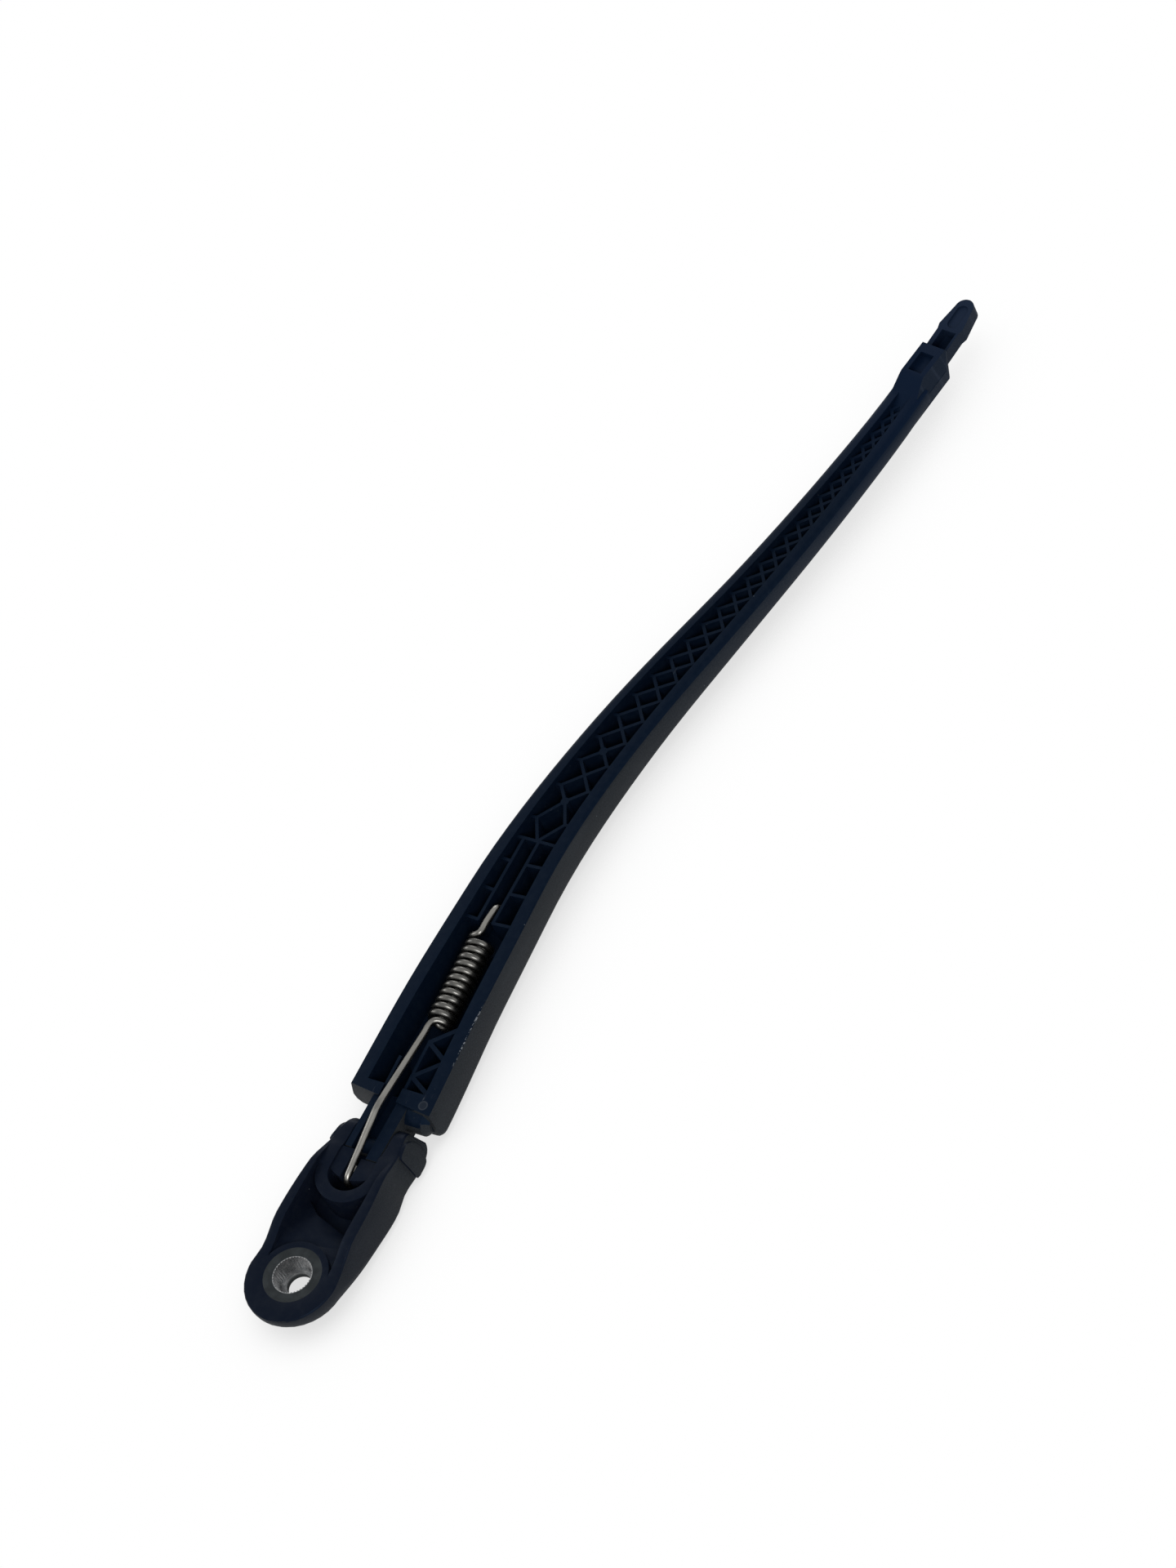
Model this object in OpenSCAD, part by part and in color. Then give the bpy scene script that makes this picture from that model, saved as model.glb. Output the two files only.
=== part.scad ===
// Rear wiper arm, lying hollow side up. Millimetres, +Z up.
// The origin is on the spindle axis at the nut seat. +X runs along the head towards the tip, and the
// spindle leaves the socket by +Z, the side that faces the glass.

/* [Spindle insert] */
// Height of the socket mouth above the nut seat
insert_h = 8.5; // [7.5:0.1:9.5]
// Outside diameter of the insert
insert_d = 20; // [18:0.1:21]
// Diameter of the flange that locks the insert into the moulding
insert_flange_d = 23; // [22:0.1:24]
// Height of that flange
insert_flange_h = 2.4; // [1.5:0.1:3]
// Diameter of the tapered socket at its mouth
socket_mouth_d = 12.7; // [12:0.1:14]
// Diameter of the tapered socket at the seat plate
socket_end_d = 11.3; // [10.6:0.1:11.8]
// Diameter of the nut seat, which the nut well leaves free
nut_seat_d = 17; // [15:0.1:18]
// Thickness of the seat plate under the socket
seat_t = 2.6; // [2:0.1:3.5]
// Diameter of the stud's clearance hole in the seat plate
stud_hole_d = 8.4; // [8.2:0.1:9]
// Number of serrations in the socket
serrations = 40; // [30:1:48]
// Depth of a serration
serration_depth = 0.4; // [0.2:0.05:0.6]

/* [Head] */
// Radius of the head's round end
head_r = 16.3; // [15.8:0.1:17.5]
// Reach of the round end beyond the spindle axis
head_end = 17.2; // [16.4:0.1:18]
// Width of the head's rim along its middle
head_rim_w = 30.6; // [30:0.1:32]
// Width of the head's outer side, which is the wider one
head_back_w = 32.8; // [31.6:0.1:33.4]
// Height of the side rims above the socket mouth
head_rim_rise = 3.2; // [2:0.1:4]
// Depth of the head's outer side below the socket mouth
head_depth = 13; // [12.6:0.1:14]
// Rise of the outer side at the round end
round_end_rise = 3.6; // [2:0.1:3.8]
// Thickness of the head's floor
head_floor_t = 2.8; // [2:0.1:3.2]
// Width of the side rims
head_wall = 3.6; // [3:0.1:4]
// Distance that the cup's middle keeps from the fork's root, beyond the cup's radius
cup_back = -0.8; // [-1:0.1:0]
// Thickness of the cup's wall
cup_wall = 4.3; // [4:0.1:4.5]
// Height of the cup's wall above the socket mouth
cup_rise = 1; // [0.4:0.1:1.6]
// Diameter of the nut well in the outer side
nut_well_d = 18.4; // [17:0.1:18.8]
// Wall of the boss round the insert, on the arm's side
boss_wall = 2.2; // [1.8:0.1:2.8]
// Distance from the spindle axis to the end of the ridge on the pocket's shelf
ridge_x = 23.2; // [22:0.1:24]
// Sideways place of that ridge
ridge_y = 4.5; // [3:0.1:5.5]

/* [Hinge] */
// Distance from the spindle axis to the hinge pin
hinge_x = 52; // [51:0.1:54]
// Depth of the hinge pin below the socket mouth
hinge_depth = 6; // [5.6:0.1:6.4]
// Diameter of the hinge pin
hinge_pin_d = 5; // [4:0.1:5.6]
// Width over the two ears at the rim
ear_w = 24.8; // [24:0.1:26]
// Width over the two ears at the outer side
ear_back_w = 32; // [30:0.1:32.6]
// Depth of the waist between the head's sides and the ears' pads
ear_waist = 1.5; // [0:0.1:1.8]
// Length of the ears beyond the hinge pin
ear_reach = 8; // [7.6:0.1:9]
// Radius of the ears' upper end corners
ear_top_r = 5.4; // [4:0.1:6]
// Radius of the ears' lower end corners
ear_low_r = 3.4; // [2.6:0.1:4.4]
// Width of the slot between the ears
fork_w = 14.8; // [14.6:0.1:15.2]
// Width over the arm's two cheeks
cheeks_w = 13.8; // [13.4:0.1:14]
// Thickness of the left cheek
left_cheek_t = 2.4; // [2.2:0.1:2.8]
// Thickness of the right cheek
right_cheek_t = 4.4; // [4:0.1:4.6]
// Radius of a cheek round the hinge pin
cheek_r = 5.6; // [5:0.1:5.7]
// Length of the right cheek's tail, from the hinge pin towards the spindle
right_tail = 6.6; // [6.2:0.1:7]
// Length of the left cheek's tail
left_tail = 4; // [3:0.1:5]
// Radius of the sleeve round the hinge pin between the cheeks
sleeve_r = 3.2; // [3.1:0.1:3.6]
// Radius of the round pad that the ears carry round the hinge pin
ear_pad_r = 5.8; // [5:0.1:6]
// Height of that pad over the ears' outer sides
ear_pad_t = 1; // [0.6:0.1:1.2]
// Running clearance of the hinge pin in the cheeks, on the radius
pin_clearance = 0.05; // [0.03:0.01:0.09]
// Side clearance between a cheek boss and its ear
boss_clearance = 0.15; // [0.1:0.05:0.3]
// Gap between the knuckle and the head's floor
knuckle_gap = 0.4; // [0.3:0.05:0.5]
// Reach of the head's floor under the knuckle
floor_reach = 1.9; // [1.6:0.1:2.4]
// Distance from the hinge pin back to the bridge across the cup
bridge_back = 15.4; // [15.2:0.1:15.8]
// Radius of the bridge's curved back, seen from above
bridge_r = 14; // [12:0.5:16]
// Wall that closes the pin hole in the right ear
blind_wall = 1.4; // [1:0.1:2]

/* [Arm channel] */
// Distance from the hinge pin to the arm's end face
end_gap = 15; // [14.5:0.1:16]
// Slant of the end face across the arm
end_slant = 3.4; // [0:0.1:5]
// Lean of the end face over its height
end_lean = 1.2; // [0:0.1:3]
// Flare of the side walls at the end face, from the rim to the back
end_flare = 1.3; // [0:0.1:1.6]
// Radius of the end face's lower edge
end_low_r = 4.4; // [2:0.1:5]
// Radius of the bulge that closes the end face beside the right cheek
bulge_r = 5.2; // [4.6:0.1:5.4]
// Distance from the arm's right side to where the bulge tapers off
bulge_inset = 3; // [2.6:0.1:3.4]
// Thickness of the end plate
end_plate_t = 5; // [4:0.1:6]
// Length of the channel, from its end face to the block
channel_len = 304; // [280:1:330]
// Width of the arm at the end plate
end_w = 32.2; // [31:0.1:34]
// Width of the arm at the spring
spring_w = 29; // [28:0.1:30]
// Width of the arm where the lattice starts
lattice_w = 24.2; // [23:0.1:26]
// Width of the arm at the middle of the lattice
middle_w = 20.4; // [19.4:0.1:22]
// Width of the arm beyond the middle of the lattice
narrow_w = 17.6; // [16.8:0.1:19]
// Width of the arm at the block
block_end_w = 13.2; // [12.6:0.1:15]
// Height of the arm's rim above the socket mouth, beyond the hinge
rim_rise = 3.4; // [2.8:0.1:4]
// Depth of the arm's back below the socket mouth at the end plate
back_end = 12.4; // [12:0.1:13]
// Depth of the arm's back at the spring
back_spring = 10.8; // [10.5:0.1:11.5]
// Depth of the arm's back before the bend
back_lattice = 9.6; // [9:0.1:10]
// Depth of the arm's back beyond the bend
back_bend = 5.9; // [5.4:0.1:6.6]
// Depth of the arm's back at the block
back_block = 4.2; // [3.9:0.1:4.8]
// Sideways lead of the bend at the middle of the lattice
bend_lead = 0.9; // [0:0.1:1.4]
// Radius of the outer left edge at the end plate
end_round = 7; // [2.6:0.1:7.4]
// Width of the flat rim at the spring
rim_w_spring = 4.6; // [3.8:0.1:4.8]
// Width of the flat rim beyond the bend
rim_w_lattice = 2; // [1.6:0.1:2.4]
// Size of the rounded outer rim edge beyond the bend
rim_edge = 2.2; // [1.6:0.1:2.4]
// Thickness of the channel's floor
floor_t = 2.1; // [1.6:0.1:2.4]
// Length of the arm's straight part, from its end face to the bend
straight_len = 83; // [70:1:95]
// Sideways bend of the tip
bend_y = 44; // [30:0.5:48]
// Distance beyond the block at which that bend would level out
bend_run = 31; // [20:1:40]

/* [Ribs] */
// Depth of the ribs' tops below the rim
rib_drop = 1.7; // [1.2:0.1:2.4]
// Thickness of a rib
rib_t = 1.1; // [0.9:0.05:1.4]
// Distance between the two guide ribs, on centres
guide_pitch = 5.8; // [5.4:0.1:6.2]
// Sideways place of the guide ribs' middle
guide_y = 1.4; // [1:0.1:1.6]
// Length of the lattice's second cell, the first is longer
cell_start = 12.3; // [11.6:0.1:12.6]
// Length of the lattice's last cell
cell_end = 5.5; // [5:0.1:6.2]
// Number of lattice cells
cells = 26; // [18:1:27]
// Half width of the diamonds, as a share of the channel's inner half width
diamond_ratio = 0.72; // [0.6:0.01:0.8]
// Radius of the round pads on the first crossings
pad_r = 1.5; // [1.2:0.1:1.8]
// Length of the left web behind the end face
left_web_len = 14; // [10:0.5:18]
// Length of the right web behind the end face
right_web_len = 22; // [21:0.5:24]
// Distance from the end face to the first knot, where diagonal webs meet the right one
knot_reach = 10.5; // [9:0.5:11]
// Distance from the first knot to the second
knot_pitch = 12.9; // [12:0.1:13.4]
// Thickness of the diagonal webs
knot_web_t = 1.5; // [1.1:0.1:1.8]

/* [Spring] */
// Diameter of the spring wire
wire_d = 2.3; // [2:0.1:2.4]
// Outside diameter of the coil
coil_d = 10.2; // [9.4:0.1:10.6]
// Number of coil turns
turns = 12; // [9:1:12]
// Gap between two turns
turn_gap = 0.4; // [0.3:0.05:0.5]
// Sideways place of the wire
spring_y = 0.8; // [0:0.1:1.2]
// Diameter of the bar in the cup that the lower hook hangs on
anchor_bar_d = 3; // [2.6:0.1:3.2]
// Diameter of the moulded bar that the upper hook turns round
bar_d = 3; // [2.6:0.1:3.4]
// Distance of the anchor bar from the back of its bridge, towards the tip
anchor_offset = 2.9; // [2.7:0.1:3.3]
// Width of the slot in the bridge that the hook lies in
hook_slot_w = 3.8; // [3.6:0.1:4.4]
// Distance from the arm's end face to the guide ribs
guide_offset = 70; // [66:0.5:76]
// Length of the guide ribs
guide_len = 33; // [30:0.5:35]
// Distance from the coil's end to the guide ribs
coil_gap = 5.4; // [4:0.2:7]
// Height of the wire's bend over the hinge, above the socket mouth
crank_rise = 4.2; // [3.8:0.1:4.8]
// Distance from the hinge pin to that bend
crank_reach = 9.8; // [9.4:0.1:10.2]
// Depth of the bar in the cup below the socket mouth
anchor_depth = 3.4; // [3.2:0.1:3.6]
// Depth of the bar between the guide ribs below the socket mouth
bar_depth = 1.4; // [1.2:0.1:1.8]
// Distance of that bar from the start of the guide ribs
bar_offset = 4.4; // [4:0.1:5.6]
// Depth of the coil's axis below the socket mouth at its lower end
coil_low_depth = 4; // [3.7:0.1:4.2]
// Depth of the coil's axis below the socket mouth at its upper end
coil_high_depth = 2; // [1.7:0.1:2.3]
// Clearance between a hook and what it turns round
hook_gap = 0.1; // [0.05:0.05:0.2]

/* [Tip] */
// Height of the block above the rim
block_h = 3.6; // [2.5:0.1:4.2]
// Length of the block's top
block_len = 14; // [13:0.1:16]
// Width of the block's top
block_w = 8.8; // [7.8:0.1:9.4]
// Turn of the tip to the side, seen from above
tip_turn = 8.5; // [6:0.5:10]
// Length of the foot under the block
foot_len = 11.4; // [9:0.1:12.4]
// Width of the tongue
tongue_w = 8.4; // [7.8:0.1:9]
// Thickness of the tongue
tongue_t = 5.2; // [5:0.1:5.6]
// Length of the ramp before the block
ramp_len = 9; // [7:0.5:10]
// Length of the recess in the block's top
recess_len = 8; // [6:0.1:8.6]
// Width of that recess
recess_w = 5.4; // [4.4:0.1:5.8]
// Depth of that recess
recess_depth = 2; // [1.4:0.1:2.4]
// Sideways place of the tongue, from the block's middle
tongue_offset = 1.3; // [0.6:0.1:1.6]
// Turn of the tongue back from the block's direction
tongue_turn = 2.5; // [0:0.5:8]
// Length of the tongue, from the block to the nose
tongue_len = 10; // [9.4:0.1:12]
// Width of the nose where it starts
nose_w = 9.6; // [9:0.1:10.4]
// Width of the nose at its round end
nose_end_w = 6.8; // [6:0.1:8]
// Length of the nose
nose_len = 13; // [11:0.1:14]
// Width of the shallow recess in the nose
nose_recess_w = 4.2; // [3:0.1:5]
// Depth of that recess
nose_recess = 0.6; // [0.3:0.1:1]
// Length of the latch pocket
latch_len = 7.4; // [6:0.1:8]
// Width of the latch pocket
latch_w = 5.6; // [5.2:0.1:6]
// Sideways place of the latch pocket, towards the right
latch_offset = 0.5; // [0:0.1:0.7]
// Thickness of the tongue under the latch pocket
latch_floor_t = 1.2; // [0.8:0.1:1.4]

/* [Hidden] */
eps = 0.01;
big = 60;
fine = 96;

// Heights, measured from the nut seat
mouth_z = insert_h;
hinge_z = mouth_z - hinge_depth;
head_bottom_z = mouth_z - head_depth;
head_floor_z = head_bottom_z + head_floor_t;
rim_z = mouth_z + rim_rise;
cheek_top_z = mouth_z + 0.1;
web_top_z = hinge_z - 0.4;
tongue_top_z = rim_z - 0.4;

// Places along X
ear_end_x = hinge_x + ear_reach;
fork_x = hinge_x - cheek_r - knuckle_gap;
cup_r = fork_w / 2;
cup_x = fork_x - cup_r - cup_back;
bridge_back_x = hinge_x - bridge_back;
arm_x = hinge_x + end_gap;
channel_x = arm_x + channel_len;
guide_x = arm_x + guide_offset;
lattice_x = guide_x + guide_len;
bend_start_x = arm_x + straight_len;
bend_end_x = channel_x + bend_run;

// Spring: hook centres and the ends of the coil
wire_r = wire_d / 2;
coil_r = (coil_d - wire_d) / 2;
pitch = wire_d + turn_gap;
anchor_x = bridge_back_x + anchor_offset;
anchor_z = mouth_z - anchor_depth;
anchor_hook_r = anchor_bar_d / 2 + hook_gap + wire_r;
bar_x = guide_x + bar_offset;
bar_z = mouth_z - bar_depth;
bar_hook_r = bar_d / 2 + hook_gap + wire_r;
coil_len = turns * pitch;
coil_x = guide_x - coil_gap - coil_len;
coil_z0 = mouth_z - coil_low_depth;
coil_z1 = mouth_z - coil_high_depth;
crank_x = hinge_x + crank_reach;
crank_z = mouth_z + crank_rise;

// Value at x of a smooth curve through the points [x, value] of a table
function slope(t, i) =
    i == 0 ? (t[1][1] - t[0][1]) / (t[1][0] - t[0][0]) :
    i == len(t) - 1 ? (t[i][1] - t[i - 1][1]) / (t[i][0] - t[i - 1][0]) :
    (t[i + 1][1] - t[i - 1][1]) / (t[i + 1][0] - t[i - 1][0]);
function hermite(a, b, ma, mb, s) =
    a * (1 + 2 * s) * pow(1 - s, 2) + ma * s * pow(1 - s, 2) + b * s * s * (3 - 2 * s) - mb * s * s * (1 - s);
function curve(t, x) =
    x <= t[0][0] ? t[0][1] :
    x >= t[len(t) - 1][0] ? t[len(t) - 1][1] :
    let (i = len([for (p = t) if (p[0] <= x) 1]) - 1, h = t[i + 1][0] - t[i][0])
    hermite(t[i][1], t[i + 1][1], slope(t, i) * h, slope(t, i + 1) * h, (x - t[i][0]) / h);
function blend(a, b, x) = let (s = max(0, min(1, (x - a) / (b - a)))) s * s * (3 - 2 * s);

// A closed skin through rings of points that all have the same count
module loft(rings) {
    n = len(rings[0]);
    m = len(rings);
    polyhedron(
        points = [for (r = rings) for (p = r) p],
        faces = concat(
            [[for (j = [0:n - 1]) j]],
            [[for (j = [n - 1:-1:0]) (m - 1) * n + j]],
            [for (i = [0:m - 2]) for (j = [0:n - 1])
                let (a = i * n + j, b = i * n + (j + 1) % n) each [[a, b + n, b], [a, a + n, b + n]]]
        ), convexity = 6);
}

// A closed ring from the right and left halves of a cross-section, given as [y, z] from the top down
function ring(x, y0, right, left) = concat(
    [for (p = right) [x, y0 - p[0], p[1]]],
    [for (i = [len(left) - 1:-1:0]) [x, y0 + left[i][0], left[i][1]]]);

// A prism along Y from a side outline in [x, z]
module side_prism(outline, y0, y1) {
    translate([0, y1, 0]) rotate([90, 0, 0]) linear_extrude(height = y1 - y0) polygon(outline);
}

// A round rod along Y
module cross_rod(x, z, d, y0, y1) {
    translate([x, y1, z]) rotate([90, 0, 0]) cylinder(d = d, h = y1 - y0, $fn = fine);
}

// Head: half widths, rim height and outer side along X
function end_half(x) = head_r * sqrt(1 - pow(x / head_end, 2));
function head_top_half(x) = x < 0 ? end_half(x) : curve([
    [0, head_r], [8, head_rim_w / 2 + 0.1], [24, head_rim_w / 2], [36, head_rim_w / 2 - 0.8],
    [hinge_x, ear_w / 2], [ear_end_x, ear_w / 2 - 2]], x);
function head_back_half(x) = x < 0 ? end_half(x) : curve([
    [0, head_r], [22, head_back_w / 2], [35, head_back_w / 2], [43, head_back_w / 2 - ear_waist],
    [hinge_x, ear_back_w / 2 - ear_pad_t / 2], [ear_end_x, ear_back_w / 2 - 1.4]], x);
function edge_rise(rho, r) = rho >= r ? 0 : r - sqrt(max(0, r * r - pow(r - rho, 2)));
function head_top_z(x) = mouth_z + head_rim_rise * (blend(5, 18, x) - blend(38, 51, x))
    - edge_rise(ear_end_x - x, ear_top_r);
function head_round(x) = curve([[0, 8.4], [14, 5], [28, 2.8], [40, 2.2]], x);
function head_back_z(x) = head_bottom_z + round_end_rise * (1 - blend(-22, 16, x))
    + edge_rise(ear_end_x - x, ear_low_r);
function head_half(x) =
    let (t = head_top_half(x), w = head_back_half(x), r = head_round(x), c = min(0.5, t / 3),
        scale_y = x < 0 ? head_end / head_r : 1)
    concat([[t - c, head_top_z(x)], [t, head_top_z(x) - c]],
        [for (a = [0:22.5:90])
            let (y = w - min(r, w - 0.2) * (1 - cos(a)),
                rho = x < 0 ? head_r - norm([x / scale_y, y]) : w - y)
            [y, head_back_z(x) + edge_rise(rho, r)]],
        [[0.1, head_back_z(x) + edge_rise(x < 0 ? head_end + x : w, r)]]);
head_stations = concat([for (a = [4:10:84]) -head_end * cos(a)], [for (x = [0:3:45]) x], [48, 50],
    [for (a = [90:-15:0]) ear_end_x - ear_top_r * (1 - cos(a))]);

// Shelf that falls from the insert's boss towards the cup, with a ridge along it. Its end edge runs
// forward from the right wall to the ridge and on to the left wall.
module pocket_ramp() {
    half = head_rim_w / 2 - head_wall + 1;
    // Place along X, then the depths at the ridge, the left wall and the right wall
    tops = [[4, 1, 1, 2.4], [11.5, 1.2, 1.3, 3.6], [15.5, 1.6, 2.2, 4.6], [ridge_x + 0.4, 3, 4.4, 8.2],
        [ridge_x + 7, 4.4, 6.5, 9.8]];
    cut = [[2, -half], [ridge_x - 4.8, -half], [ridge_x, ridge_y + 0.2], [ridge_x + 5.9, half], [2, half]];
    intersection() {
        loft([for (t = tops) [[t[0], -half, head_floor_z - 1], [t[0], half, head_floor_z - 1],
            [t[0], half, mouth_z - t[2]], [t[0], ridge_y, mouth_z - t[1]], [t[0], -half, mouth_z - t[3]]]]);
        translate([0, 0, head_floor_z - 2]) linear_extrude(height = big) polygon(cut);
    }
}

module head_pocket() {
    half = head_rim_w / 2 - head_wall;
    difference() {
        translate([3, -half, head_floor_z]) cube([cup_x - 3, 2 * half, big]);
        translate([0, 0, head_bottom_z]) cylinder(r = insert_d / 2 + boss_wall, h = big, $fn = fine);
        translate([cup_x, 0, head_bottom_z]) cylinder(r = cup_r + cup_wall, h = big, $fn = fine);
        pocket_ramp();
    }
}

// Bridge across the cup, with a slot for the hook and the bar that it hangs on
module bridge() {
    front_x = hinge_x - right_tail - knuckle_gap;
    half = fork_w / 2 + 1;
    difference() {
        intersection() {
            translate([bridge_back_x + bridge_r, 0, anchor_z - anchor_bar_d / 2])
                cylinder(r = bridge_r, h = mouth_z - anchor_z + anchor_bar_d / 2, $fn = fine);
            union() {
                translate([bridge_back_x, -half, 0]) cube([front_x - bridge_back_x, 2 * half, big]);
                translate([bridge_back_x, 0, 0])
                    cube([hinge_x - left_tail - knuckle_gap - bridge_back_x, half, big]);
            }
        }
        cross_rod(hinge_x, hinge_z, 2 * (cheek_r + knuckle_gap), -big / 2, big / 2);
        translate([0, spring_y - hook_slot_w / 2, 0]) cube([big, hook_slot_w, big]);
    }
    cross_rod(anchor_x, anchor_z, anchor_bar_d, -half, half);
}

// Round pads on the ears' outer sides, cut level with the wall behind the hinge
module ear_pads() {
    for (s = [-1, 1]) intersection() {
        cross_rod(hinge_x, hinge_z, 2 * ear_pad_r, s > 0 ? 0 : -big, s > 0 ? big : 0);
        translate([0, s * ear_pad_t, 0]) difference() {
            loft([for (x = head_stations) ring(x, 0, head_half(x), head_half(x))]);
            translate([0, -fork_w / 2, -big]) cube([2 * big, fork_w, 2 * big]);
        }
        translate([hinge_x - ear_pad_r / 2, -big, -big]) cube([big, 2 * big, 2 * big]);
    }
}

module head() {
    color("#26282d") {
        difference() {
            union() {
                loft([for (x = head_stations) ring(x, 0, head_half(x), head_half(x))]);
                ear_pads();
            }
            // Land round the socket, level with its mouth
            translate([0, 0, mouth_z]) cylinder(r = insert_d / 2 + boss_wall + 0.6, h = big, $fn = fine);
            head_pocket();
            // The cup's wall stands lower than the side rims
            translate([0, 0, mouth_z + cup_rise]) intersection() {
                union() {
                    translate([cup_x, 0, 0]) cylinder(r = cup_r + cup_wall, h = big, $fn = fine);
                    translate([cup_x, -big / 2, 0]) cube(big);
                }
                translate([0, head_wall - head_rim_w / 2, 0]) cube([big, head_rim_w - 2 * head_wall, big]);
            }
            // Cup round the anchor bar, open into the fork between the ears
            translate([cup_x, 0, head_floor_z]) cylinder(r = cup_r, h = big, $fn = fine);
            translate([cup_x, -fork_w / 2, head_floor_z]) cube([big, fork_w, big]);
            translate([fork_x + floor_reach, -fork_w / 2, head_bottom_z - 1]) cube([big, fork_w, big]);
            cross_rod(hinge_x, hinge_z, 2 * (cheek_r + knuckle_gap), -fork_w / 2, fork_w / 2);
            // Seats of the insert, the nut and the hinge pin
            insert_body();
            translate([0, 0, -big]) cylinder(d = nut_well_d, h = big, $fn = fine);
            translate([0, 0, mouth_z - 1]) cylinder(d = insert_d, h = big, $fn = fine);
            cross_rod(hinge_x, hinge_z, hinge_pin_d, -ear_w / 2 + blind_wall, big);
        }
        bridge();
    }
}

// Outside of the insert: a narrower foot at the nut seat and a locking flange at half height
module insert_body() {
    cylinder(d = nut_seat_d, h = insert_h / 2, $fn = fine);
    translate([0, 0, seat_t / 2]) cylinder(d = insert_d, h = insert_h - seat_t / 2, $fn = fine);
    translate([0, 0, (insert_h - insert_flange_h) / 2])
        cylinder(d = insert_flange_d, h = insert_flange_h, $fn = fine);
}

module spline_insert() {
    tooth_out = [for (i = [0:2 * serrations - 1])
        let (a = i * 180 / serrations, r = socket_mouth_d / 2 + (i % 2) * serration_depth)
        [r * cos(a), r * sin(a)]];
    color("#8b8f92") difference() {
        insert_body();
        translate([0, 0, -1]) cylinder(d = stud_hole_d, h = big, $fn = fine);
        translate([0, 0, insert_h + eps]) mirror([0, 0, 1])
            linear_extrude(height = insert_h - seat_t, scale = socket_end_d / socket_mouth_d)
                polygon(tooth_out);
    }
}

module hinge_pin() {
    color("#9a9c9e") cross_rod(hinge_x, hinge_z, hinge_pin_d, -ear_w / 2 + blind_wall, ear_w / 2 + 0.4);
}

// Arm: everything along the channel follows u, which is 0 at the end face and 1 at the block
function arm_u(x) = (x - arm_x) / channel_len;
function arm_y(x) = -bend_y * blend(bend_start_x, bend_end_x, x)
    - bend_lead * (blend(0.5, 0.7, arm_u(x)) - blend(0.7, 0.92, arm_u(x)));
function arm_half(x) = curve([[0, end_w], [0.18, spring_w], [0.37, lattice_w], [0.6, middle_w],
    [0.72, narrow_w], [1, block_end_w]], arm_u(x)) / 2;
function arm_back_z(x) = mouth_z - curve([[0, back_end], [0.18, back_spring], [0.42, back_lattice],
    [0.7, back_bend], [1, back_block]], arm_u(x));
function arm_rim_z(x) = mouth_z + 0.3 + (rim_rise - 0.3) * blend(-0.08, 0.16, arm_u(x));
function arm_edge(x) = 0.3 + (rim_edge - 0.3) * blend(0.14, 0.55, arm_u(x));
function arm_rim_w(x) = rim_w_spring + (rim_w_lattice - rim_w_spring) * blend(0.14, 0.55, arm_u(x));
function arm_inner(x) = arm_half(x) - arm_edge(x) - arm_rim_w(x);
function arm_floor_z(x) = arm_back_z(x) + floor_t;
function arm_round(x, left) = min(2.6 + (left ? end_round - 2.6 : 0) * (1 - blend(0, 0.12, arm_u(x))),
    (arm_rim_z(x) - arm_back_z(x)) / 2.6);
function arm_draft(x) = 0.3 - (0.3 + end_flare) * (1 - blend(0, 0.16, arm_u(x)));
function arm_lift(x, left) = edge_rise(x - arm_x + end_lean + (left ? -0.5 : 0.5) * end_slant, end_low_r);
function arm_section(x, left) =
    let (w = arm_half(x), c = arm_edge(x), z = arm_rim_z(x),
        b = arm_back_z(x) + arm_lift(x, left), r = arm_round(x, left),
        d = arm_draft(x))
    concat([for (a = [0:30:90]) [w - c + c * sin(a), z - c + c * cos(a)]],
        [for (a = [0:30:90]) [w - d - r + r * cos(a), b + r - r * sin(a)]],
        [[w * 0.45, b - 0.35]]);
arm_stations = concat([for (i = [-4:1:7]) arm_x + i],
    [for (i = [0:37]) arm_x + 9 + i * (channel_len - 9) / 37]);
function wall_ring(x, inset, z0, z1) =
    let (half = [[arm_inner(x) + inset, z1], [arm_inner(x) + inset, z0]]) ring(x, arm_y(x), half, half);

module arm_shell() {
    difference() {
        loft([for (x = arm_stations)
            ring(x, arm_y(x), arm_section(x, false), arm_section(x, true))]);
        // Slanted end face
        translate([arm_x, 0, mouth_z]) rotate([0, atan(end_lean / back_end), -atan(end_slant / end_w)])
            translate([-big, -big / 2, -big / 2]) cube([big, big, big]);
        // Hollow of the channel
        loft([for (i = [0:34])
            let (x = arm_x + end_plate_t + i * (channel_len - end_plate_t - 3) / 34)
            wall_ring(x, 0, arm_floor_z(x), arm_rim_z(x) + 5)]);
        // Slot through the end plate, between the cheeks
        translate([arm_x - 5, right_cheek_t - cheeks_w / 2, web_top_z])
            cube([end_plate_t + 12, cheeks_w - left_cheek_t - right_cheek_t, big]);
    }
}

// Bulge on the end face between the right cheek and the side wall, with a tapered outer end
module end_bulge() {
    x = arm_x - 0.2;
    z = mouth_z - bulge_r - 0.2;
    outer_y = bulge_inset - end_w / 2;
    cross_rod(x, z, 2 * bulge_r, outer_y, -cheeks_w / 2 + 1);
    translate([x, outer_y, z]) rotate([90, 0, 0])
        cylinder(r1 = bulge_r, r2 = bulge_r * 0.6, h = bulge_inset * 0.73, $fn = fine);
}

// A thin upright web between two plan points, as a flat shape
module web(a, b, t) {
    d = b - a;
    n = [-d[1], d[0]] * (t / 2 / norm(d));
    e = d * (t / 4 / norm(d));
    polygon([a - e + n, a - e - n, b + e - n, b + e + n]);
}

function cell_len(x) = cell_end + (cell_start - cell_end)
    * pow(1 - min(1, (x - lattice_x) / (channel_x - lattice_x)), 2.2);
function cell_x(i) = i == 0 ? lattice_x : let (x = cell_x(i - 1)) x + cell_len(x) * (i == 1 ? 1.36 : 1);

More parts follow.
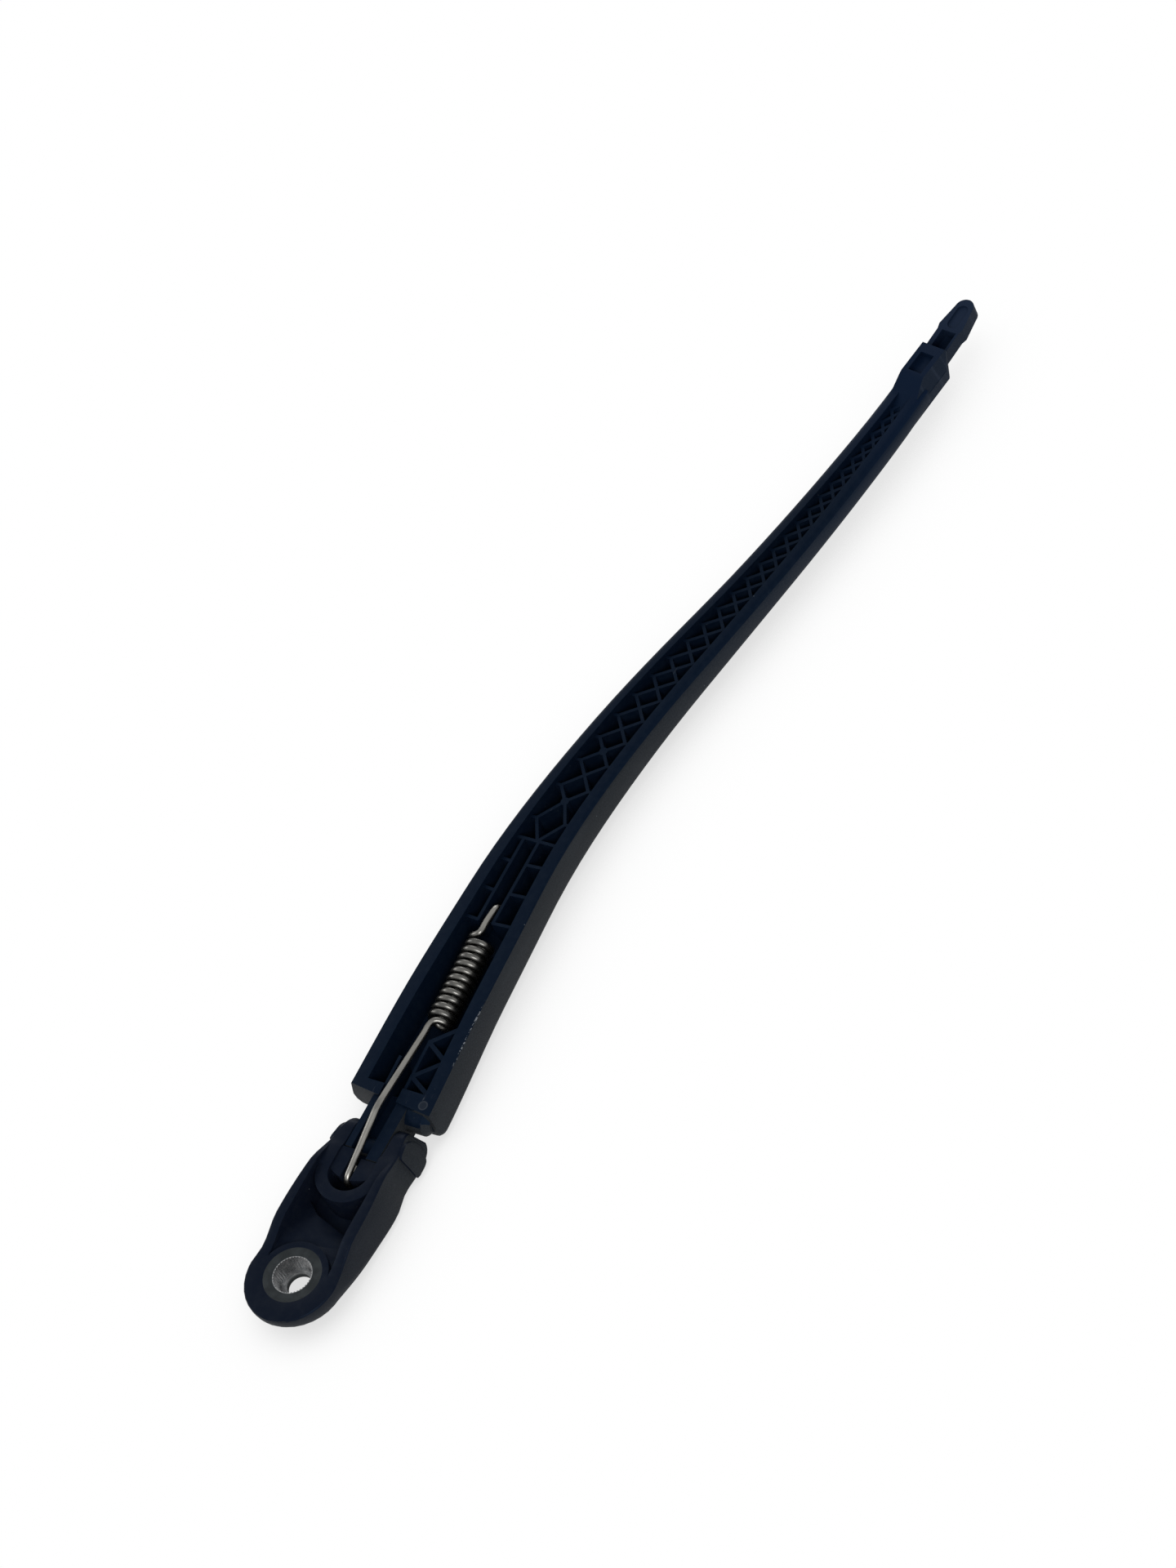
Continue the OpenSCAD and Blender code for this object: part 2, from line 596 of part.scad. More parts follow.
module lattice_plan() {
    for (i = [0:cells - 1]) {
        x0 = cell_x(i);
        x1 = cell_x(i + 1);
        xm = (x0 + x1) / 2;
        a = [x0, arm_y(x0)];
        b = [x1, arm_y(x1)];
        for (s = [-1, 1]) {
            v = [xm, arm_y(xm) + s * arm_inner(xm) * diamond_ratio];
            web(a, v, rib_t);
            web(v, b, rib_t);
            web(v, [xm, arm_y(xm) + s * (arm_inner(xm) + 0.6)], rib_t);
        }
        if (i % 2 == 1 && i < 4) translate(a) circle(r = pad_r, $fn = 24);
    }
}

module guide_plan() {
    for (s = [-1, 1]) {
        y = guide_y + s * guide_pitch / 2;
        web([guide_x, y], [lattice_x, y], rib_t);
        for (k = [0:2]) {
            x = guide_x + k * guide_len / 2.8;
            web([x, y], [x + 0.4, s * (arm_inner(x) + 0.6)], rib_t);
        }
    }
    web([lattice_x, -arm_inner(lattice_x) - 0.6], [lattice_x, arm_inner(lattice_x) + 0.6], rib_t);
}

module end_web_plan() {
    left_y = (cheeks_w + rib_t) / 2 - left_cheek_t;
    right_y = right_cheek_t - cheeks_w / 2 + 0.2;
    start_x = arm_x + 2;
    web([start_x, left_y], [start_x + left_web_len, left_y], rib_t);
    web([start_x, right_y], [start_x + right_web_len, right_y], rib_t);
    // Diagonal webs on the right, two from each knot on the rib to the side wall
    for (knot_x = [arm_x + knot_reach, arm_x + knot_reach + knot_pitch])
        for (x = [knot_x - 5, knot_x + knot_pitch - 5])
            web([knot_x, right_y], [x, -arm_inner(x) - 0.6], knot_web_t);
}

// The ribs stand between the floor and a surface just under the rim
module ribs() {
    intersection() {
        translate([0, 0, mouth_z - 20]) linear_extrude(height = 40) union() {
            lattice_plan();
            guide_plan();
            end_web_plan();
        }
        loft([for (i = [0:30])
            let (x = arm_x + 2 + i * (channel_len - 2) / 30)
            wall_ring(x, 0.9, arm_back_z(x) + floor_t / 2, arm_rim_z(x) - rib_drop)]);
    }
}

// A cheek: a plate from the end plate to its round end on the hinge, with a square tail above the pin
module cheek(tail, y0, t) {
    low_z = hinge_z - cheek_r;
    foot_x = arm_x + end_plate_t - 1;
    side_prism([[hinge_x - tail, cheek_top_z], [hinge_x - tail, hinge_z], [hinge_x, hinge_z],
        [hinge_x, low_z], [foot_x, low_z], [foot_x, cheek_top_z]], y0, y0 + t);
    cross_rod(hinge_x, hinge_z, 2 * cheek_r, y0, y0 + t);
}

// Two cheeks with a sleeve and a web between them, and a low boss on each outer side
module cheeks() {
    side_gap = (fork_w - cheeks_w) / 2 - boss_clearance;
    low_z = hinge_z - cheek_r;
    foot_x = arm_x + end_plate_t - 1;
    cheek(right_tail, -cheeks_w / 2, right_cheek_t);
    cheek(left_tail, cheeks_w / 2 - left_cheek_t, left_cheek_t);
    cross_rod(hinge_x, hinge_z, 2 * sleeve_r, -cheeks_w / 2, cheeks_w / 2);
    intersection() {
        cross_rod(hinge_x, hinge_z, 2 * cheek_r, -cheeks_w / 2, cheeks_w / 2);
        translate([0, -big / 2, web_top_z - big]) cube([2 * big, big, big]);
    }
    for (s = [-1, 1]) translate([0, s * (cheeks_w / 2 - 1), 0])
        cross_rod(hinge_x, hinge_z, 2 * cheek_r - 1.4, -1 - side_gap, 1 + side_gap);
    side_prism([[hinge_x, low_z], [foot_x, low_z], [foot_x, web_top_z], [hinge_x, web_top_z]],
        -cheeks_w / 2, cheeks_w / 2);
}

// Tip, drawn along X from the channel's end: a block on a foot, then the tongue with its nose
module block() {
    top_z = rim_z + block_h;
    low_z = mouth_z - back_block;
    end_x = block_len + 2.5;
    foot_w = block_end_w - 1.2;
    start_x = -ramp_len - 5;
    intersection() {
        side_prism([[start_x, low_z + 1.2], [-ramp_len, rim_z - 2.4], [5 - ramp_len, rim_z],
            [1, top_z - 0.6], [2.4, top_z], [end_x - 1.2, top_z - 0.3], [end_x, tongue_top_z],
            [foot_len + 1.5, tongue_top_z - tongue_t], [foot_len, low_z + 0.6], [start_x, low_z + 0.6]],
            -big, big);
        // Sides that lean in from the foot to the top
        hull() {
            translate([start_x - 1, -foot_w / 2, low_z]) cube([foot_len - start_x + 1, foot_w, back_block]);
            translate([start_x - 1, -block_w / 2, top_z]) cube([end_x - start_x + 1, block_w, 1]);
        }
    }
    hull() {
        translate([-2, -foot_w / 2, low_z + 1.5]) cube([foot_len + 2, foot_w, back_block - 1]);
        translate([-2, 1.6 - foot_w / 2, low_z]) cube([foot_len + 2, foot_w - 3.2, back_block]);
    }
}

module tongue() {
    round_x = tongue_len + nose_len - nose_end_w / 2;
    difference() {
        translate([0, 0, tongue_top_z - tongue_t]) linear_extrude(height = tongue_t) {
            translate([-3, -tongue_w / 2]) square([tongue_len + 3, tongue_w]);
            polygon([[tongue_len - 1, -tongue_w / 2], [tongue_len + 1, -nose_w / 2],
                [round_x, -nose_end_w / 2], [round_x, nose_end_w / 2],
                [tongue_len + 1, nose_w / 2], [tongue_len - 1, tongue_w / 2]]);
            translate([round_x, 0]) circle(d = nose_end_w, $fn = 48);
        }
        translate([1.6, -latch_w / 2 - latch_offset, tongue_top_z - tongue_t + latch_floor_t])
            cube([latch_len, latch_w, big]);
        // Shallow recess with round ends in the nose
        for (x = [tongue_len + 2.6, round_x - 1.4]) translate([x, 0, tongue_top_z - nose_recess])
            cylinder(d = nose_recess_w, h = big, $fn = 32);
        translate([tongue_len + 2.6, -nose_recess_w / 2, tongue_top_z - nose_recess])
            cube([nose_len - nose_end_w / 2 - 4, nose_recess_w, big]);
    }
}

module tip() {
    translate([channel_x, arm_y(channel_x), 0]) rotate([0, 0, -tip_turn]) {
        difference() {
            block();
            translate([3.6, -recess_w / 2, rim_z + block_h - recess_depth])
                cube([recess_len, recess_w, big]);
        }
        translate([block_len + 1.5, tongue_offset, 0]) rotate([0, 0, tongue_turn]) tongue();
    }
}

module arm_beam() {
    color("#26282d") difference() {
        union() {
            arm_shell();
            ribs();
            end_bulge();
            cheeks();
            tip();
            cross_rod(bar_x, bar_z, bar_d, guide_y - guide_pitch / 2, guide_y + guide_pitch / 2);
        }
        cross_rod(hinge_x, hinge_z, hinge_pin_d + 2 * pin_clearance, -big / 2, big / 2);
    }
}

// Wire: points along the hooks, the cranked straight and the coil
function arc_xz(cx, cz, r, a0, a1, n) = [for (i = [0:n])
    let (a = a0 + (a1 - a0) * i / n) [cx + r * cos(a), spring_y, cz + r * sin(a)]];
function coil_point(a) =
    let (t = (a - 90) / 360 / turns, z = coil_z0 + (coil_z1 - coil_z0) * t)
    [coil_x + t * coil_len, spring_y + coil_r * cos(a), z + coil_r * sin(a)];
function bezier(p, n) = [for (i = [1:n - 1])
    let (t = i / n, q = 1 - t)
    p[0] * q * q * q + p[1] * 3 * t * q * q + p[2] * 3 * t * t * q + p[3] * t * t * t];
function joined(p0, d0, p1, d1, k, n) = bezier([p0, p0 + d0 * k, p1 - d1 * k, p1], n);
function unit(v) = v / norm(v);
leave_a = 108;
crank_in = [crank_x - 3.5, spring_y, crank_z - 0.9];
crank_out = [crank_x + 4, spring_y, crank_z - 0.3];
coil_in_a = 115;
coil_out_a = 65 + 360 * turns;
wire_path = concat(
    arc_xz(anchor_x, anchor_z, anchor_hook_r, 380, leave_a, 18),
    joined(crank_in, [1, 0, 0.27], crank_out, [1, 0, -0.08], 2.5, 6),
    joined([coil_x - 6.5, spring_y + 0.6, coil_z0 + coil_r + 0.5], [1, 0, -0.06],
        coil_point(coil_in_a), [0.15, -0.95, -0.3], 3.4, 8),
    [for (a = [coil_in_a:20:coil_out_a]) coil_point(a)],
    joined(coil_point(coil_out_a), [0.15, -0.95, 0.3], [bar_x - 4, spring_y, bar_z + bar_hook_r + 0.5],
        [1, 0, -0.1], 3.4, 8),
    arc_xz(bar_x, bar_z, bar_hook_r, 95, -60, 10));

function tangent(p, i) = unit(p[min(i + 1, len(p) - 1)] - p[max(i - 1, 0)]);
function carried(v, t) = unit(v - (v * t) * t);
wire_normals = [for (i = 0, v = carried([0, 1, 0], tangent(wire_path, 0)); i < len(wire_path);
    i = i + 1, v = i < len(wire_path) ? carried(v, tangent(wire_path, i)) : v) v];

module tension_spring() {
    sides = 8;
    color("#c9c8c2") loft([for (i = [0:len(wire_path) - 1])
        let (t = tangent(wire_path, i), u = wire_normals[i], w = cross(t, u))
        [for (j = [0:sides - 1])
            let (a = -j * 360 / sides) wire_path[i] + wire_r * (u * cos(a) + w * sin(a))]]);
}

head();
spline_insert();
hinge_pin();
arm_beam();
tension_spring();
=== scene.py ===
"""Rear wiper arm, lying with its hollow side up on a pale table."""
import math

import bpy
from mathutils import Matrix, Vector
from mathutils.bvhtree import BVHTree


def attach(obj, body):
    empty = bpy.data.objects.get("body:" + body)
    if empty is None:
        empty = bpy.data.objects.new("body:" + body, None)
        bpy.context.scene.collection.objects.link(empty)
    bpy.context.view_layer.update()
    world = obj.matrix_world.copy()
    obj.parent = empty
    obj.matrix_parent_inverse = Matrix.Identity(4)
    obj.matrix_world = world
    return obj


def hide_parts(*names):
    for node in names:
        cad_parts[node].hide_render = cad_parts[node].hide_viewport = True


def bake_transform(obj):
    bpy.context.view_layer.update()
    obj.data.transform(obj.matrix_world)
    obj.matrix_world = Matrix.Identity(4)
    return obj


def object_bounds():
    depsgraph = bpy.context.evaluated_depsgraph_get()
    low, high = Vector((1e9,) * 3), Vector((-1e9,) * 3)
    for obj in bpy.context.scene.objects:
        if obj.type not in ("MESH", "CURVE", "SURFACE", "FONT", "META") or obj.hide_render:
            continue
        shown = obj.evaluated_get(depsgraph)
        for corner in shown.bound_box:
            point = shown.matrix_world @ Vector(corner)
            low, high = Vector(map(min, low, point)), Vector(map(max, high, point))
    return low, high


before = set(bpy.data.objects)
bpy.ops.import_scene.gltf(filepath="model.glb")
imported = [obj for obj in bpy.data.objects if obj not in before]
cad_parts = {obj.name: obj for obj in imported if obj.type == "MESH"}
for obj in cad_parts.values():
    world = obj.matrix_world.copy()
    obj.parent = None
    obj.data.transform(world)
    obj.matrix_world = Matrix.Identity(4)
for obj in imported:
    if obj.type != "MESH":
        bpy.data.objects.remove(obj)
cad_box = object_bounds()


# ---------------------------------------------------------------------------------------------
# Head: black glass-filled plastic, moulded round the metal insert. Its outer skin comes from a
# grained tool, and the hollow side from a smoother core, so the two read differently.

MM = 0.001
HEAD_RADIUS = 0.35 * MM
HEAD_SHARP = 34
WELD = 0.002 * MM
FLAT_ANGLE = math.radians(0.01)
SMOOTH_ANGLE = math.radians(32)


def cad_copy(node, name):
    """A closed, welded copy of a CAD node, with flat faces made whole again."""
    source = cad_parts[node]
    piece = bpy.data.objects.new(name, source.data.copy())
    bpy.context.scene.collection.objects.link(piece)
    bpy.ops.object.select_all(action="DESELECT")
    piece.select_set(True)
    bpy.context.view_layer.objects.active = piece
    bpy.ops.mesh.customdata_custom_splitnormals_clear()
    bpy.ops.object.mode_set(mode="EDIT")
    bpy.ops.mesh.select_all(action="SELECT")
    bpy.ops.mesh.remove_doubles(threshold=WELD)
    bpy.ops.mesh.dissolve_limited(angle_limit=FLAT_ANGLE)
    bpy.ops.object.mode_set(mode="OBJECT")
    return piece


def round_edges(piece, width, angle, edge_slot):
    """Small moulded radii along the sharp edges; the radii get the material in edge_slot."""
    bevel = piece.modifiers.new("radii", "BEVEL")
    bevel.width = width
    bevel.segments = 2
    bevel.limit_method = "ANGLE"
    bevel.angle_limit = math.radians(angle)
    bevel.use_clamp_overlap = True
    bevel.material = edge_slot
    bevel.miter_outer = "MITER_ARC"
    bpy.context.view_layer.objects.active = piece
    bpy.ops.object.modifier_apply(modifier=bevel.name)
    bpy.ops.object.select_all(action="DESELECT")
    piece.select_set(True)
    bpy.ops.object.shade_smooth_by_angle(angle=SMOOTH_ANGLE)


RAY_START = 0.05 * MM
RAY_DIP = Vector((0, 0, 0.3))
FACES_UP = 0.45


def mark_outer_skin(piece):
    """Attribute outer_skin: 1 on faces of the outside, 0 on the hollow side.

    A face is outside when nothing stands before it, straight out and a little lower, and it
    doesn't look up out of the hollow.
    """
    mesh = piece.data
    tree = BVHTree.FromPolygons([v.co for v in mesh.vertices], [p.vertices for p in mesh.polygons])
    values = []
    for face in mesh.polygons:
        start = face.center + face.normal * RAY_START
        below = (face.normal - RAY_DIP).normalized()
        free = all(tree.ray_cast(start, way)[0] is None for way in (face.normal, below))
        values.append(1.0 if free and face.normal.z < FACES_UP else 0.0)
    layer = mesh.attributes.new("outer_skin", "FLOAT", "FACE")
    layer.data.foreach_set("value", values)


class Nodes:
    """Short calls for adding and joining the nodes of one material."""

    def __init__(self, name):
        self.material = bpy.data.materials.new(name)
        self.material.use_nodes = True
        self.tree = self.material.node_tree
        self.shader = self.tree.nodes["Principled BSDF"]
        self.place = self.add("ShaderNodeTexCoord").outputs["Object"]

    def add(self, kind, inputs=None, **settings):
        node = self.tree.nodes.new(kind)
        for key, value in settings.items():
            setattr(node, key, value)
        for key, value in (inputs or {}).items():
            if isinstance(value, bpy.types.NodeSocket):
                self.tree.links.new(value, node.inputs[key])
            else:
                node.inputs[key].default_value = value
        return node

    def math(self, operation, a, b=0.0, c=0.0):
        return self.add("ShaderNodeMath", {0: a, 1: b, 2: c}, operation=operation).outputs[0]

    def noise(self, scale, detail=2.0, stretch=(1, 1, 1), roughness=0.5):
        place = self.add("ShaderNodeMapping", {"Vector": self.place, "Scale": stretch}).outputs[0]
        return self.add("ShaderNodeTexNoise", {"Vector": place, "Scale": scale, "Detail": detail,
                                               "Roughness": roughness}).outputs["Fac"]

    def ramp(self, value, low, high, out_low=0.0, out_high=1.0):
        return self.add("ShaderNodeMapRange", {0: value, 1: low, 2: high, 3: out_low, 4: out_high},
                        interpolation_type="SMOOTHSTEP").outputs[0]

    def mix(self, factor, a, b):
        node = self.add("ShaderNodeMix", {0: factor, 6: a, 7: b}, data_type="RGBA")
        return node.outputs[2]

    def link(self, output, name):
        self.tree.links.new(output, self.shader.inputs[name])


# Colours of the hollow side, then of the outer skin, from head to tip
HEAD_BLACK = (0.0042, 0.0062, 0.0125, 1)
HEAD_HAZE = (0.0082, 0.0105, 0.0165, 1)
TIP_BLUE = (0.0046, 0.0115, 0.0300, 1)
# The nose's colour is lighter as a painted sheen, where it is seen at a glancing angle
NOSE_SHEEN_BLUE = (0.0115, 0.0200, 0.0410, 1)
SKIN_HEAD = (0.0115, 0.0128, 0.0160, 1)
SKIN_GREY = (0.0175, 0.0190, 0.0205, 1)
SKIN_BLUE = (0.0082, 0.0135, 0.0245, 1)
SKIN_GRAIN = (0.036, 0.039, 0.043, 1)
STREAK_BLUE = (0.024, 0.032, 0.050, 1)
# The radii are lighter than the body, a painted highlight along the edges, and lighter still where
# rubbed
EDGE_DARK = (0.0100, 0.0145, 0.0230, 1)
EDGE_RUB_AND_HIGHLIGHT = (0.0420, 0.0490, 0.0570, 1)
EDGE_BARE = (0.26, 0.27, 0.28, 1)
SCUFF_GREY = (0.11, 0.12, 0.13, 1)
PLASTIC_TINT = (0.40, 0.62, 0.95, 1)
EDGE_TINT = (0.45, 0.65, 0.95, 1)
# Distances along the arm, in metres, over which one colour gives way to the next
HEAD_END = (0.020, 0.050)
SKIN_TURNS_BLUE = (0.19, 0.33)
GRAIN_ENDS = (0.26, 0.35)
HOLLOW_TURNS_BLUE = (0.31, 0.38)
BLOCK_START = (0.362, 0.372)
NOSE_START = (0.386, 0.402)
# Spacing of the patterns, in waves per metre
FLOW, CLOUDS, MOTTLE, GRAIN, SPECKS = 60, 130, 420, 2600, 360
# Height of the right rim's outer edge and its place across, as polynomials of the way along
RIM_Y = (0.0293, -0.01798)
RIM_Z = (-0.9367, 0.2260, -0.00171)
SCUFF_FROM, SCUFF_TO = (0.083, 0.087), (0.102, 0.110)


def laid_down_scuff(m):
    """Ragged pale scuffing on the right rim's outer edge, where the arm was laid down on it."""
    x, y, z = m.add("ShaderNodeSeparateXYZ", {0: m.place}).outputs
    off = m.math("SUBTRACT", y, m.math("MULTIPLY_ADD", x, *RIM_Y))
    rim_z = m.math("MULTIPLY_ADD", x, m.math("MULTIPLY_ADD", x, *RIM_Z[:2]), RIM_Z[2])
    drop = m.math("SUBTRACT", z, rim_z)
    away = m.math("SQRT", m.math("ADD", m.math("MULTIPLY", off, off), m.math("MULTIPLY", drop, drop)))
    ragged = m.ramp(m.noise(2100, 4, (0.5, 1, 1)), 0.50, 0.60, 0.0, 0.8)
    span = m.math("MULTIPLY", m.ramp(x, *SCUFF_FROM), m.ramp(x, *SCUFF_TO, 1.0, 0.0))
    near = m.ramp(away, 0.20 * MM, 0.42 * MM, 1.0, 0.0)
    return m.math("MULTIPLY", m.math("MULTIPLY", span, ragged), near)


def moulded_plastic(name, black, haze, scuffs, ejector=None):
    """Black plastic: bluish and even inside, greyer and grained outside, bluer towards the tip, with a
    painted sheen making the nose lighter.
    """
    m = Nodes(name)
    outer = m.add("ShaderNodeAttribute", attribute_name="outer_skin").outputs["Fac"]
    along = m.add("ShaderNodeSeparateXYZ", {0: m.place}).outputs[0]
    flow = m.noise(FLOW, 4, (0.5, 1, 1))
    mottle = m.noise(MOTTLE, 3)
    grain = m.noise(GRAIN, 2)
    hollow = m.mix(m.ramp(mottle, 0.38, 0.75, 0.0, 0.6), black, haze)
    hollow = m.mix(m.ramp(along, *HOLLOW_TURNS_BLUE, 0.0, 0.8), hollow, TIP_BLUE)
    # Painted sheen: the nose is made lighter where it is seen at a glancing angle
    hollow = m.mix(m.ramp(along, *NOSE_START), hollow, NOSE_SHEEN_BLUE)
    skin = m.mix(m.ramp(along, *HEAD_END), SKIN_HEAD, SKIN_GREY)
    skin = m.mix(m.ramp(along, *SKIN_TURNS_BLUE), skin, SKIN_BLUE)
    # The tool's grain, and wide clouds where it is rubbed: weak on the head and weaker at the tip
    coarse = m.math("MULTIPLY", m.ramp(along, *GRAIN_ENDS, 1.0, 0.12),
                    m.ramp(along, *HEAD_END, 0.55, 1.0))
    grained = m.ramp(grain, 0.42, 0.66, 0.0, 0.42)
    skin = m.mix(m.math("MULTIPLY", grained, coarse), skin, SKIN_GRAIN)
    cloud = m.ramp(m.noise(CLOUDS, 5, (0.3, 1, 1)), 0.45, 0.75, 0.0, 0.30)
    skin = m.mix(m.math("MULTIPLY", cloud, coarse), skin, SKIN_GRAIN)
    # Paler upright streaks painted up the sides of the block at the tip
    upright = m.ramp(m.noise(MOTTLE, 2, (1, 0.3, 0.06)), 0.50, 0.68)
    block_streaks = m.math("MULTIPLY", upright, m.ramp(along, *BLOCK_START, 0.0, 0.6))
    skin = m.mix(block_streaks, skin, STREAK_BLUE)
    colour = m.mix(outer, hollow, skin)
    # Dust and small nicks: a pale speck in one cell of seventeen, and scratches in patches
    cells = m.add("ShaderNodeTexVoronoi", {"Vector": m.place, "Scale": SPECKS, "Randomness": 1.0})
    chance = m.add("ShaderNodeSeparateColor", {0: cells.outputs["Color"]}).outputs[0]
    speck = m.math("MULTIPLY", m.ramp(cells.outputs["Distance"], 0.05, 0.09, 1.0, 0.0),
                   m.ramp(chance, 0.94, 0.945))
    scratch = m.math("MULTIPLY", m.ramp(m.noise(1500, 3, (0.08, 1, 1)), 0.68, 0.76),
                     m.ramp(m.noise(45, 2), 0.57, 0.70))
    marks = m.math("MAXIMUM", m.math("MULTIPLY", speck, 0.8), m.math("MULTIPLY", scratch, scuffs))
    if ejector:
        # Faint round mark that an ejector pin leaves on the mouth plane
        away = m.add("ShaderNodeVectorMath", {0: m.place, 1: ejector}, operation="DISTANCE")
        away = away.outputs["Value"]
        rim = m.math("MULTIPLY", m.ramp(away, 1.45 * MM, 1.75 * MM),
                     m.ramp(away, 1.85 * MM, 2.1 * MM, 1.0, 0.0))
        disc = m.ramp(away, 1.8 * MM, 2.0 * MM, 0.12, 0.0)
        marks = m.math("MAXIMUM", marks, m.math("MAXIMUM", disc, m.math("MULTIPLY", rim, 0.30)))
    colour = m.mix(marks, colour, SCUFF_GREY)
    m.link(m.mix(laid_down_scuff(m), colour, EDGE_BARE), "Base Color")
    rough = m.math("MULTIPLY_ADD", flow, 0.16, 0.34)
    m.link(m.math("ADD", rough, m.math("MULTIPLY", outer, 0.14)), "Roughness")
    m.shader.inputs["Specular IOR Level"].default_value = 0.07
    m.shader.inputs["Specular Tint"].default_value = PLASTIC_TINT
    depth = m.math("MULTIPLY_ADD", outer, 0.55, 0.15)
    height = m.math("ADD", m.math("MULTIPLY", grain, depth), m.math("MULTIPLY", mottle, 0.2))
    bump = m.add("ShaderNodeBump", {"Height": height, "Strength": 0.22, "Distance": 0.10 * MM})
    m.link(bump.outputs[0], "Normal")
    return m.material


def worn_and_highlit_edge(name):
    """The radii along rims and ribs, painted lighter than the body as a painted highlight, rubbed
    smooth, and bare in scuffed places.
    """
    m = Nodes(name)
    # Painted highlight: the radii are lighter than the body so they shine as lit edges; in patches they
    # are partly rubbed lighter still
    rub_and_highlight = m.ramp(m.noise(150, 4, (0.35, 1, 1)), 0.40, 0.75)
    bare = m.math("MULTIPLY", m.ramp(m.noise(1100, 4, (0.5, 1, 1)), 0.56, 0.64),
                  m.ramp(m.noise(38, 2), 0.54, 0.64))
    bare = m.math("MAXIMUM", bare, laid_down_scuff(m))
    m.link(m.mix(bare, m.mix(rub_and_highlight, EDGE_DARK, EDGE_RUB_AND_HIGHLIGHT), EDGE_BARE), "Base Color")
    m.link(m.math("MULTIPLY_ADD", m.noise(700, 2), 0.14, 0.30), "Roughness")
    m.shader.inputs["Specular IOR Level"].default_value = 0.10
    m.shader.inputs["Specular Tint"].default_value = EDGE_TINT
    bump = m.add("ShaderNodeBump", {"Height": m.noise(1800, 2), "Strength": 0.12, "Distance": 0.06 * MM})
    m.link(bump.outputs[0], "Normal")
    return m.material


head = cad_copy("head", "head_moulding")
head.data.materials.clear()
head.data.materials.append(moulded_plastic("head_black", HEAD_BLACK, HEAD_HAZE, 0.35))
head.data.materials.append(worn_and_highlit_edge("head_edge"))
round_edges(head, HEAD_RADIUS, HEAD_SHARP, 1)
mark_outer_skin(head)
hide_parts("head")
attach(head, "head_body")


# ---------------------------------------------------------------------------------------------
# Spindle insert: a zinc die casting that the head is moulded round. The casting skin is dull,
# and the serrated cone is bright where the teeth of the spindle have been pressed into it.

CAST_GREY, CAST_PALE = (0.018, 0.021, 0.022, 1), (0.032, 0.036, 0.037, 1)
CONE_GREY, CONE_BRIGHT = (0.20, 0.205, 0.21, 1), (0.30, 0.30, 0.30, 1)
# The cone's radius, and the height from which its wall shows the marks of the spindle
CONE_RADIUS = (6.9 * MM, 6.7 * MM)
CONE_FOOT = (1.0 * MM, 3.2 * MM)

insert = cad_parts["spline_insert"]
m = Nodes("die_cast_zinc")
axis = m.add("ShaderNodeSeparateXYZ", {0: m.place})
radius = m.math("SQRT", m.math("ADD", m.math("MULTIPLY", axis.outputs[0], axis.outputs[0]),
                               m.math("MULTIPLY", axis.outputs[1], axis.outputs[1])))
in_cone = m.math("MULTIPLY", m.ramp(radius, *CONE_RADIUS), m.ramp(axis.outputs[2], *CONE_FOOT))
cast = m.mix(m.ramp(m.noise(260, 4), 0.35, 0.68), CAST_GREY, CAST_PALE)
bright = m.mix(m.ramp(m.noise(700, 3), 0.4, 0.7), CONE_GREY, CONE_BRIGHT)
m.link(m.mix(in_cone, cast, bright), "Base Color")
m.link(m.ramp(in_cone, 0.0, 1.0, 0.62, 0.36), "Roughness")
m.link(m.ramp(in_cone, 0.0, 1.0, 0.0, 0.85), "Metallic")
m.shader.inputs["Specular IOR Level"].default_value = 0.12
pitted = m.add("ShaderNodeBump", {"Height": m.noise(1500, 3), "Strength": 0.25, "Distance": 0.1 * MM})
m.link(pitted.outputs[0], "Normal")
insert.data.materials.clear()
insert.data.materials.append(m.material)


# ---------------------------------------------------------------------------------------------
# Hinge pin: plain drawn steel, pressed through the ears and hidden but for its one end.

PIN_STEEL, PIN_STAIN = (0.42, 0.42, 0.43, 1), (0.24, 0.235, 0.23, 1)

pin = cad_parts["hinge_pin"]
m = Nodes("drawn_pin_steel")
m.link(m.mix(m.ramp(m.noise(500, 3), 0.4, 0.7), PIN_STEEL, PIN_STAIN), "Base Color")
m.link(m.math("MULTIPLY_ADD", m.noise(1400, 2, (1, 0.05, 1)), 0.2, 0.25), "Roughness")
m.shader.inputs["Metallic"].default_value = 1.0
pin.data.materials.clear()
pin.data.materials.append(m.material)


# ---------------------------------------------------------------------------------------------
# Arm: one long moulding, a channel with two cheeks at its hinge end, guide ribs and a lattice
# of thin ribs inside, and a block, tongue and nose at the tip that the blade's clip slides on.

ARM_BLACK = (0.0023, 0.0058, 0.0138, 1)
ARM_HAZE = (0.0055, 0.0100, 0.0190, 1)
ARM_RADIUS = 0.22 * MM
ARM_SHARP = 38
EJECTOR_MARK = (0.0684, -0.0123, 0.0086)

arm = cad_copy("arm_beam", "arm_moulding")
arm.data.materials.clear()
arm.data.materials.append(moulded_plastic("arm_black", ARM_BLACK, ARM_HAZE, 0.6, EJECTOR_MARK))
arm.data.materials.append(worn_and_highlit_edge("arm_edge"))
round_edges(arm, ARM_RADIUS, ARM_SHARP, 1)
mark_outer_skin(arm)
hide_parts("arm_beam")
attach(arm, "arm_body")


# ---------------------------------------------------------------------------------------------
# Tension spring: bright drawn wire, coiled close at the middle. Its lower end is cranked over
# the hinge and hooked round the bar in the cup, and its upper hook turns round the arm's bar.

